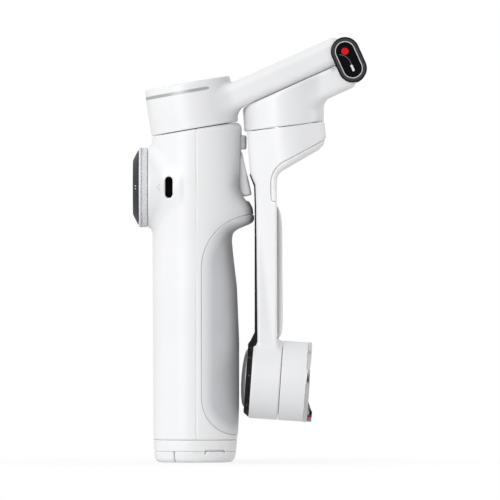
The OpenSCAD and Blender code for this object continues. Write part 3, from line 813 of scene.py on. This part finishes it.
def stamp(name, outline, m, look):
    """A thin mark laid on the handle's near side, drawn from the port's centre."""
    surface = [handle_side_at(PORT_X + x, PORT_Z + z) for x, z in outline]
    points = [(x, z, s + lift) for lift in (-0.04, 0.03) for (x, z), s in zip(outline, surface)]
    flat_sided(name, points, raised_faces(len(outline)), m, "handle", look)


def handle_side_at(x, z):
    """How far the shell stands out on the near side at a place."""
    line = SimpleNamespace(x=np.full((1, 1, 1), x, np.float32), z=np.full((1, 1, 1), z, np.float32),
                           y=np.linspace(-22, -8, 400, dtype=np.float32)[None, :, None])
    first = int(np.argmax(shell_field(line)[0, :, 0] < 0))
    return -float(line.y[0, first, 0])


# ---------- trigger and bumper

def build_trigger():
    g = grid_round(["trigger"], 0.25)
    pivot = np.array(JOINTS["trigger_pull"]["pos_m"]) / MM
    outline = soften([(12.2, 118.6), (17.5, 118.8), (18.35, 121.3), (18.95, 118.6), (22.15, 104.3),
                      (19.6, 103.5), (16.4, 104.1), (15.6, 111)],
                     [0.3, 0.3, 0.2, 0.5, 0.35, 0.6, 0.5, 1], 5)
    side = polygon(g.x, g.z, outline)
    lever = meet(side, np.abs(g.y) - 4, 1.0)
    dished = disc(g.x, g.z, 50.5, 122.6, 31.6)
    lever = cut(lever, np.maximum(dished, np.abs(g.y) - 2.8), 0.6)
    boss = disc(g.x, g.z, pivot[0], pivot[2], 1.9)
    web = np.maximum(between(g.x, 12.2, 15.3), between(g.z, 117.6, 121))
    lever = join(lever, np.maximum(np.minimum(boss, web), np.abs(g.y) - 3.3), 0.3)
    lever = cut(lever, disc(g.x, g.z, pivot[0], pivot[2], 1.04))
    moulded("trigger_lever", lever, g, "trigger_lever", TRIGGER, ["trigger"])


def build_bumper():
    """A soft block that follows the handle's roundness, its grey painted shade for the gap it sits in."""
    low, high = box_mm("fold_bumper")
    g = Grid(low, high, 0.2)
    block = meet(between(g.z, low[2], high[2]), np.abs(g.y) - high[1], 0.9)
    block = meet(block, from_axis(g) - (high[0] + 0.2), 0.7)
    block = meet(block, 18.2 - from_axis(g))
    moulded("bumper", block, g, "handle", BUMPER, ["fold_bumper"])


# ---------- link frame shapes

ARM_HALF = 11.5
SEAM = 0.15
GAP = 0.12
KNUCKLE = PIN_OFF - SEAM
SLOT_HALF = 3.2
GEAR_ROOM = 4.5
PIN_BORE = 1.54


def link_uv(g):
    """Along the arms and across the seam, from the link's centre."""
    return LINK.across(g), LINK.along(g)


def arm_end(side, thick, length, seam=SEAM):
    """Outline of an arm in the link's frame, with its knuckle round the pin."""
    points = [(-length, side * seam)]
    if seam < SEAM:
        points += [(-6, side * seam), (-6, side * SEAM)]
    points += arc(0, side * PIN_OFF, KNUCKLE, side * -90, side * 40, 12)
    points += [(-1.3, side * (thick - 0.7)), (-2.6, side * thick), (-length, side * thick)]
    return points


def hinge_cuts(g, field, side):
    """Room for both gears and for the tail of this arm's own gear, and the pin's bore."""
    u, v = link_uv(g)
    inner = np.abs(g.y) - SLOT_HALF
    for s in (1, -1):
        field = cut(field, np.maximum(disc(u, v, 0, s * PIN_OFF, GEAR_ROOM), inner), 0.2)
    low, high = sorted((side * 1.2, side * 5.7))
    tail = np.maximum(between(u, -9, 0), between(v, low, high))
    field = cut(field, np.maximum(tail, inner), 0.2)
    return cut(field, disc(u, v, 0, side * PIN_OFF, PIN_BORE))


# ---------- pan motor and upper arm

PAN_RADIUS = 17.1
PAN_DRAFT = 0.035


def pan_wall(t):
    """The pan drum's radius at a height over its seam, a little less from 8 mm up."""
    return PAN_RADIUS - PAN_DRAFT * np.maximum(t - 8, 0)


def build_upper_arm():
    g = grid_round(["pan_arm"], FINE)
    t = PAN.along(g)
    top = cap_height()
    radius = PAN.radius(g)
    drum = meet(radius - pan_wall(t), t - top, 0.6)
    u, v = link_uv(g)
    arm = meet(polygon(u, v, arm_end(1, 10.6, 70)), np.abs(g.y) - ARM_HALF, 3.2)
    arm = np.maximum(arm, 6 - PAN.across(g))
    body = join(drum, arm, 0.9 + 2.6 * np.clip((top - 1 - t) / 6, 0, 1))
    body = meet(body, GAP - t, 0.3)
    body = hinge_cuts(g, body, 1)
    body = cut(body, np.maximum(radius - 15.4, t - 12.8))
    body = cut(body, np.maximum(radius - 5.95, t - 14.45))
    body = cut(body, np.maximum(radius - 15.2, (top - 1.7) - t), 0.18)
    moulded("upper_arm_shell", body, g, "upper_arm", WHITE, ["pan_arm"])
    cap = [(0, top - 1.65), (15.05, top - 1.65), (15.05, top - 0.3), (14.95, top - 0.1),
           (14.7, top - 0.02), (12, top), (0, top)]
    lathed("pan_top", cap, PAN.matrix(), "upper_arm", WHITE, ["pan_cap"])
    build_band(top)


def cap_height():
    """Height of the pan cap's top over the seam."""
    node = frame["nodes"]["pan_cap"]
    return max((np.array(v.co) / MM - PAN.point) @ PAN.dir for v in node.data.vertices)


def build_band(top, width=1.25, below=4.05, reach=119, proud=0.04):
    """Silver inlay round the front of the drum, a hair proud of it, with rounded ends."""
    steps = 120
    section = ((-0.5, -1), (-0.04, -1), (0, -0.8), (0, 0.8), (-0.04, 1), (-0.5, 1))
    points = []
    for i in range(steps + 1):
        a = math.radians(180 - reach + 2 * reach * i / steps)
        end = min(1, min(i, steps - i) / 3 + 0.3)
        for out, t in section:
            height = top - below + width / 2 + t * width / 2 * math.sqrt(end)
            r = pan_wall(height) + out + proud
            points.append((r * math.cos(a), r * math.sin(a), height))
    n = len(section)
    faces = [[i * n + k, i * n + (k + 1) % n, (i + 1) * n + (k + 1) % n, (i + 1) * n + k]
             for i in range(steps) for k in range(n)]
    faces += [list(range(n))[::-1], [steps * n + k for k in range(n)]]
    flat_sided("pan_inlay", points, faces, PAN.matrix(), "upper_arm", SILVER, ["pan_band"])


# ---------- hinge link

def link_matrix(side):
    """Drawing plane on the link: x along the arms, y across the seam, z outwards from the arms."""
    return placed(-side * LINK.side, LINK.dir, (0, side, 0), LINK.point)


def build_link():
    low, high = box_mm("link_plate_far")
    inner, outer = low[1], high[1]
    near = link_matrix(-1)
    for name, m in (("near", near), ("far", link_matrix(1))):
        prism(f"link_plate_{name}_body", pill(5.6), inner, outer, m, "fold_link", GLOSS,
              ["link_plate_" + name], bevel=0.55)
        frame_prism(f"link_band_{name}", pill(5.0), pill(3.9), outer - 0.1, outer + 0.06, m,
                    "fold_link", LINK_LOOK)
        prism(f"link_face_{name}", pill(3.7), outer - 0.25, outer + 0.05, m, "fold_link", GLOSS,
              bevel=0.05)
    frame_prism("link_trim_near", pill(3.95), pill(3.62), outer - 0.1, outer + 0.14, near,
                "fold_link", TRIM, ["link_trim"])
    dot = arc(0, PIN_OFF, 1.42, 0, 352, 44)
    prism("link_dot_near", dot, outer, outer + 0.17, near, "fold_link", RED, ["link_dot"], bevel=0.08)
    tick = [(x, y - PIN_OFF + 0.1) for x, y in pill(0.42, 0.95, 8)]
    prism("link_tick_near", tick, outer, outer + 0.13, near, "fold_link", PAINT, ["link_mark"])
    sweep = arc(-4.5, -1.0, 4.84, -22, 66, 24) + arc(-4.5, -1.0, 4.56, 66, -22, 24)
    prism("link_sweep_near", sweep, outer, outer + 0.1, near, "fold_link", SWEEP)


# ---------- roll motor

STATOR_ROOM = 13.6


def build_lower_arm():
    """The roll motor's housing, whose drum leans 2 degrees and widens upwards, with its arm."""
    g = grid_round(["roll_housing"], FINE)
    u, v = link_uv(g)
    t = ROLL.along(g)
    lean = math.radians(2)
    leaning = Axis(ROLL.point - (0.45, 0, 0), (-math.sin(lean), 0, math.cos(lean)))
    drum = leaning.radius(g) - 15.35 - 0.036 * (leaning.along(g) + 6)
    arm = meet(polygon(u, v, arm_end(-1, 10.35, 34, -5)), np.abs(g.y) - ARM_HALF, 3.0)
    arm = np.maximum(arm, 4 - leaning.across(g))
    body = meet(join(drum, arm, 2.6), v + SEAM, 1.0)
    body = meet(body, GAP - t, 0.3)
    body = hinge_cuts(g, body, -1)
    body = cut(body, np.maximum(ROLL.radius(g) - STATOR_ROOM, t - 7.8))
    body = cut(body, np.maximum(ROLL.radius(g) - 6.05, t - 10.6))
    moulded("roll_housing_shell", body, g, "lower_arm", WHITE, ["roll_housing"])


ARM_IN = 31.9


def flare_side():
    """Side outline of the roll frame, from its seam to the tilt cup."""
    outer = [(19.95, 134), (20.3, 128.3), (21.06, 117.8), (21.5, 112.3), (23.5, 107.8),
             (23.8, 100), (24.3, 50), (24.3, 38)]
    inner = [(32.3, 38), (32.0, 50)] + arc(ARM_IN + 5, 109.5, 5, 180, 120, 10)
    return outer + inner + [(48.3, 121.8), (50.0, 123.6), (51.1, 126.9), (50.2, 134)]


def frame_field(g, side):
    """Roll drum and arm. side is the distance to its side outline."""
    plan = join(ROLL.radius(g) - 15.25, np.abs(g.y) - 10.3, 4.0)
    low = np.clip((112 - g.z) / 10, 0, 1)
    return meet(plan, side, 2.4 - 1.2 * low)


def build_roll_frame():
    g = grid_round(["roll_arm", "roll_arm_cover"], FINE)
    outside = frame_field(g, polygon(g.x, g.z, flare_side()))
    t = ROLL.along(g)
    tilt_t = TILT.along(g)
    body = meet(outside, t + GAP, 0.3)
    cup = meet(TILT.radius(g) - 15.5, between(tilt_t, -11.4, -GAP), 0.4)
    body = join(body, cup, 2.0)
    body = cut(body, np.maximum(-tilt_t - GAP, TILT.radius(g) - 17))
    body = cut(body, np.maximum(TILT.radius(g) - STATOR_ROOM, between(tilt_t, -9.6, 6)))
    body = cut(body, np.maximum(ROLL.radius(g) - STATOR_ROOM, between(t, -7.8, 5)))
    line = cover_side(g)
    core = cut(body, np.maximum(line - 0.1, -(outside + 1.3)), 0.15)
    moulded("roll_frame_shell", core, g, "roll_frame", WHITE, ["roll_arm"])
    cover = meet(meet(outside, t + GAP), line, 0.12)
    cover = cut(cover, outside + 1.25)
    moulded("roll_cover_shell", cover, g, "roll_frame", WHITE, ["roll_arm_cover"])


def cover_side(g):
    """Distance to the edge of the cover under the drum's flare."""
    points = arc(30.8, 102.7, 1.1, 180, 270, 4) + [(34, 101.6), (60, 112), (60, 130.4), (49.9, 125.2)]
    points += arc(39.1, 108.6, 9.5, 112, 180, 10)
    return polygon(g.x, g.z, points)


def build_dome():
    """Silver cap over the tilt motor's outer end, its colour darkened with painted shade."""
    radius, rim, edge, apex = 11.2, -12.2, -13.55, -15.25
    turns = np.linspace(0, math.pi / 2, 24)[:-1]
    dome = [(0, rim), (radius, rim)]
    dome += [(radius * math.cos(a), edge + (apex - edge) * math.sin(a)) for a in turns]
    lathed("tilt_dome", dome + [(0, apex)], TILT.matrix(), "roll_frame", DOME, ["outer_disc"])


def build_spine():
    """Slim raised crown on the arm's inner side."""
    low, high = box_mm("arm_spine")
    g = Grid(low, high, 0.25)
    outline = soften([(ARM_IN + 0.12, 100.2), (ARM_IN + 1.5, 97.2), (ARM_IN + 2.1, 92),
                      (ARM_IN + 2.35, 54), (ARM_IN + 1.9, 50), (ARM_IN + 0.45, 47.9),
                      (ARM_IN + 0.25, 50)], [0, 1.5, 3, 3, 1.5, 0.3, 0], 5)
    crown = meet(polygon(g.x, g.z, outline), np.abs(g.y) - high[1], 1.3)
    moulded("arm_crown", crown, g, "roll_frame", WHITE, ["arm_spine"])


def build_strip():
    """Dark strip down the arm's outer side, which becomes the plate round the dome."""
    g = grid_round(["arm_strip"], 0.22)
    outline = [(21.5, 112.3), (23.5, 107.8), (23.9, 100), (24.38, 50), (24.38, 44), (21.6, 44),
               (20.85, 45.8), (23.25, 50.6), (23.25, 100), (23.0, 107.6), (21.15, 112.3)]
    strip = meet(polygon(g.x, g.z, outline), np.abs(g.y) - 9.4, 0.3)
    t = TILT.along(g)
    r = TILT.radius(g)
    rim = 15.2 - np.maximum(0, -(t + 11.45)) * 0.8
    plate = meet(r - rim, between(t, -13.5, -11.45), 0.3)
    plate = join(strip, plate, 0.6)
    plate = cut(plate, np.maximum(r - 15.6, between(t, -11.44, 3)))
    plate = cut(plate, np.maximum(r - 11.3, between(t, -22, -12.1)), 0.1)
    moulded("arm_plate", plate, g, "roll_frame", DARK, ["arm_strip"])


def build_vents(vents=22):
    """Ring of small grey studs round the dome, left out where the strip joins the plate."""
    slot = soften(rectangle(12.1, -0.5, 13.1, 0.5), 0.2, 3)
    for k in range(vents):
        turn = 360 * k / vents + 8
        if abs(turn - 180) >= 24:
            m = TILT.matrix() @ Matrix.Rotation(math.radians(turn), 4, "Z")
            prism(f"plate_vent_{k}", slot, -13.54, -13.3, m, "roll_frame", KEY)


# ---------- tilt head

ROTOR_END = 9.85
RING_END = 11.4


def build_tilt_head():
    m = TILT.matrix()
    shell = soften([(12.62, 8.85), (12.62, ROTOR_END), (15.5, ROTOR_END), (15.5, GAP),
                    (STATOR_ROOM, GAP), (STATOR_ROOM, 7.6), (3.05, 7.6), (3.05, 8.85)],
                   [0, 0, 0.12, 0.35, 0.2, 0, 0, 0])
    lathed("tilt_shell", shell, m, "tilt_head", WHITE, ["tilt_rotor"])
    ring = soften([(12.6, ROTOR_END + 0.02), (15.63, ROTOR_END + 0.02), (15.63, RING_END - 0.02),
                   (15.0, RING_END), (14.4, RING_END - 0.25), (12.6, RING_END - 0.25)],
                  [0, 0.15, 0.45, 0.1, 0.1, 0])
    lathed("tilt_metal_ring", ring, m, "tilt_head", CHROME, ["tilt_ring"], steps=192)
    face = RING_END - 0.5
    seat = [(0, 8.87), (12.5, 8.87), (12.5, face - 0.3), (12.3, face - 0.06), (12.0, face),
            (9.4, face), (9.2, face - 0.18), (8.6, face - 0.18), (8.4, face), (0, face)]
    lathed("tilt_seat", seat, m, "tilt_head", BUMPER, ["clamp_seat"])
    for k in range(4):
        dot = arc(0, -4.5 + 3 * k, 0.75, 0, 345, 23)
        prism(f"seat_contact_{k}", dot, face - 0.05, face + 0.12, m, "tilt_head", BRASS, bevel=0.08)
    build_key(m)


def build_key(m):
    """The keyed block that sets the phone clamp, at the head's lowest point."""
    low = RING_END + 0.02
    tall = low + 1.68
    block = [(7.4, low), (9.6, low + 0.9), (11.3, tall), (15.3, tall), (15.3, low)]
    m = m @ Matrix(((1, 0, 0, 0), (0, 0, -1, 0), (0, 1, 0, 0), (0, 0, 0, 1)))
    prism("key_block", block, -4.3, 4.3, m, "tilt_head", KEY, ["locating_key"], bevel=0.2)
    window = soften([(10.3, low + 0.55), (12.8, low + 0.55), (12.8, tall + 0.06), (11.3, tall + 0.06)],
                    0.1, 3)
    prism("key_window", window, -4.36, 4.36, m, "tilt_head", GLOSS, bevel=0.03)
    stripe = rectangle(12.9, low + 0.05, 13.55, tall + 0.06)
    prism("key_stripe", stripe, -4.38, 4.38, m, "tilt_head", RED, bevel=0.03)
    inlay = rectangle(10.9, low + 0.1, 12.5, low + 0.6)
    prism("key_inlay", inlay, -4.4, 4.4, m, "tilt_head", PAINT, bevel=0.03)


# ---------- kept CAD nodes

KEPT = (
    # The port, metal shell included, is dressed in black gloss: painted shade for the dark inside of its slot.
    (CELL, "battery_cell"), (BOARD, "main_board"), (GLOSS, "usb_port"), (BRASS, "thread_insert"),
    (COPPER, "pan_stator roll_stator tilt_stator"),
    (INNER, "trigger_bracket trigger_switch pan_base tripod_sleeve tripod_hub"),
    (STEEL, "trigger_pin trigger_spring leg_pins hinge_gear_upper hinge_gear_lower hinge_pins"),
    (STEEL, "pan_axle pan_magnets pan_bearing roll_axle roll_magnets roll_bearing"),
    (STEEL, "tilt_axle tilt_magnets tilt_bearing"),
)


def dress_kept_nodes():
    for look, names in KEPT:
        for name in names.split():
            materials = frame["nodes"][name].data.materials
            materials.clear()
            materials.append(look["material"])


# ---------- stage, light and camera

def build_stage():
    """A pale floor that fades into the white surroundings."""
    mesh = bpy.data.meshes.new("floor")
    turns = np.linspace(0, 2 * math.pi, 96, endpoint=False)
    rim = [(0.02 + 3 * math.cos(a), 3 * math.sin(a), 0) for a in turns]
    mesh.from_pydata(rim, [], [list(range(len(rim)))])
    floor = bpy.data.objects.new("floor", mesh)
    bpy.context.scene.collection.objects.link(floor)
    material, tree, shader = nodes_of("floor_paper")
    shader.inputs["Base Color"].default_value = (0.9, 0.9, 0.9, 1)
    shader.inputs["Roughness"].default_value = 0.9
    shader.inputs["Specular IOR Level"].default_value = 0.1
    length = tree.nodes.new("ShaderNodeVectorMath")
    length.operation = "LENGTH"
    tree.links.new(position(tree), length.inputs[0])
    fade = spread(tree, length.outputs["Value"], 0.72, 1.0, 0.03, 0.14)
    glow = tree.nodes.new("ShaderNodeEmission")
    glow.inputs["Color"].default_value = (1, 1, 1, 1)
    path = tree.nodes.new("ShaderNodeLightPath")
    tree.links.new(spread(tree, path.outputs["Is Camera Ray"], 0.66, 1.0, 0, 1), glow.inputs["Strength"])
    mix = tree.nodes.new("ShaderNodeMixShader")
    tree.links.new(fade, mix.inputs[0])
    tree.links.new(shader.outputs[0], mix.inputs[1])
    tree.links.new(glow.outputs[0], mix.inputs[2])
    tree.links.new(mix.outputs[0], tree.nodes["Material Output"].inputs["Surface"])
    mesh.materials.append(material)


def build_world():
    """White to the camera. As light it is dimmer from the front right, and dark behind the camera."""
    world = bpy.data.worlds.new("studio")
    bpy.context.scene.world = world
    world.use_nodes = True
    tree = world.node_tree
    path = tree.nodes.new("ShaderNodeLightPath")
    soft = facing(tree, (0.60, -0.72, 0.34), 1.02, 0.38, -0.05, 0.95)
    sharp = facing(tree, (0.0, -1.0, -0.1), 0.85, 0.12, 0.72, 0.97)
    tone = choose(tree, path.outputs["Is Glossy Ray"], soft, sharp)
    tone = choose(tree, path.outputs["Is Camera Ray"], tone, None)
    back = tree.nodes["Background"]
    back.inputs["Color"].default_value = (1, 1, 1, 1)
    tree.links.new(tone, back.inputs["Strength"])


def facing(tree, direction, away, toward, start, end):
    """A value by how closely a ray points along a direction."""
    dot = tree.nodes.new("ShaderNodeVectorMath")
    dot.operation = "DOT_PRODUCT"
    dot.inputs[1].default_value = Vector(direction).normalized()
    tree.links.new(position(tree, "Generated"), dot.inputs[0])
    return spread(tree, dot.outputs["Value"], away, toward, start, end)


def choose(tree, factor, first, second):
    """The second value where factor is 1. No second value means 1."""
    node = tree.nodes.new("ShaderNodeMix")
    tree.links.new(factor, node.inputs[0])
    tree.links.new(first, node.inputs[2])
    if second is None:
        node.inputs[3].default_value = 1.0
    else:
        tree.links.new(second, node.inputs[3])
    return node.outputs[0]


def soft_light(name, place, target, size, power):
    light = bpy.data.lights.new(name, "AREA")
    light.shape = "RECTANGLE"
    light.size, light.size_y = size
    light.energy = power
    obj = bpy.data.objects.new(name, light)
    bpy.context.scene.collection.objects.link(obj)
    obj.location = place
    obj.rotation_euler = (Vector(target) - Vector(place)).to_track_quat("-Z", "Y").to_euler()


def build_lights():
    low, high = cad_bounds
    middle = (low + high) / 2
    soft_light("key", (-0.42, -0.86, 0.44), middle, (0.45, 0.45), 3.9)
    soft_light("strip", (-0.44, -0.88, -0.02), (0.02, 0, 0.04), (0.22, 0.5), 3.0)
    soft_light("rim", (0.9, 0.05, 0.1), middle, (0.3, 0.6), 2.2)


def build_camera(distance=4.875, lens=900, aim=(0.02145, 0.0827)):
    """Level with the object's middle, and so far back that there is hardly any perspective."""
    camera = bpy.data.cameras.new("camera")
    camera.lens = lens
    camera.sensor_width = 36
    obj = bpy.data.objects.new("camera", camera)
    bpy.context.scene.collection.objects.link(obj)
    obj.location = (aim[0], -distance, aim[1])
    obj.rotation_euler = (math.pi / 2, 0, 0)
    camera.clip_start = 0.1
    camera.clip_end = 20
    bpy.context.scene.camera = obj


# ---------- build

build_shells()
build_grip()
build_base()
build_dial()
build_port()
build_trigger()
build_bumper()
build_upper_arm()
build_link()
build_lower_arm()
build_roll_frame()
build_spine()
build_strip()
build_vents()
build_dome()
build_tilt_head()
dress_kept_nodes()
build_stage()
build_world()
build_lights()
build_camera()
bpy.context.scene.view_settings.view_transform = "Standard"
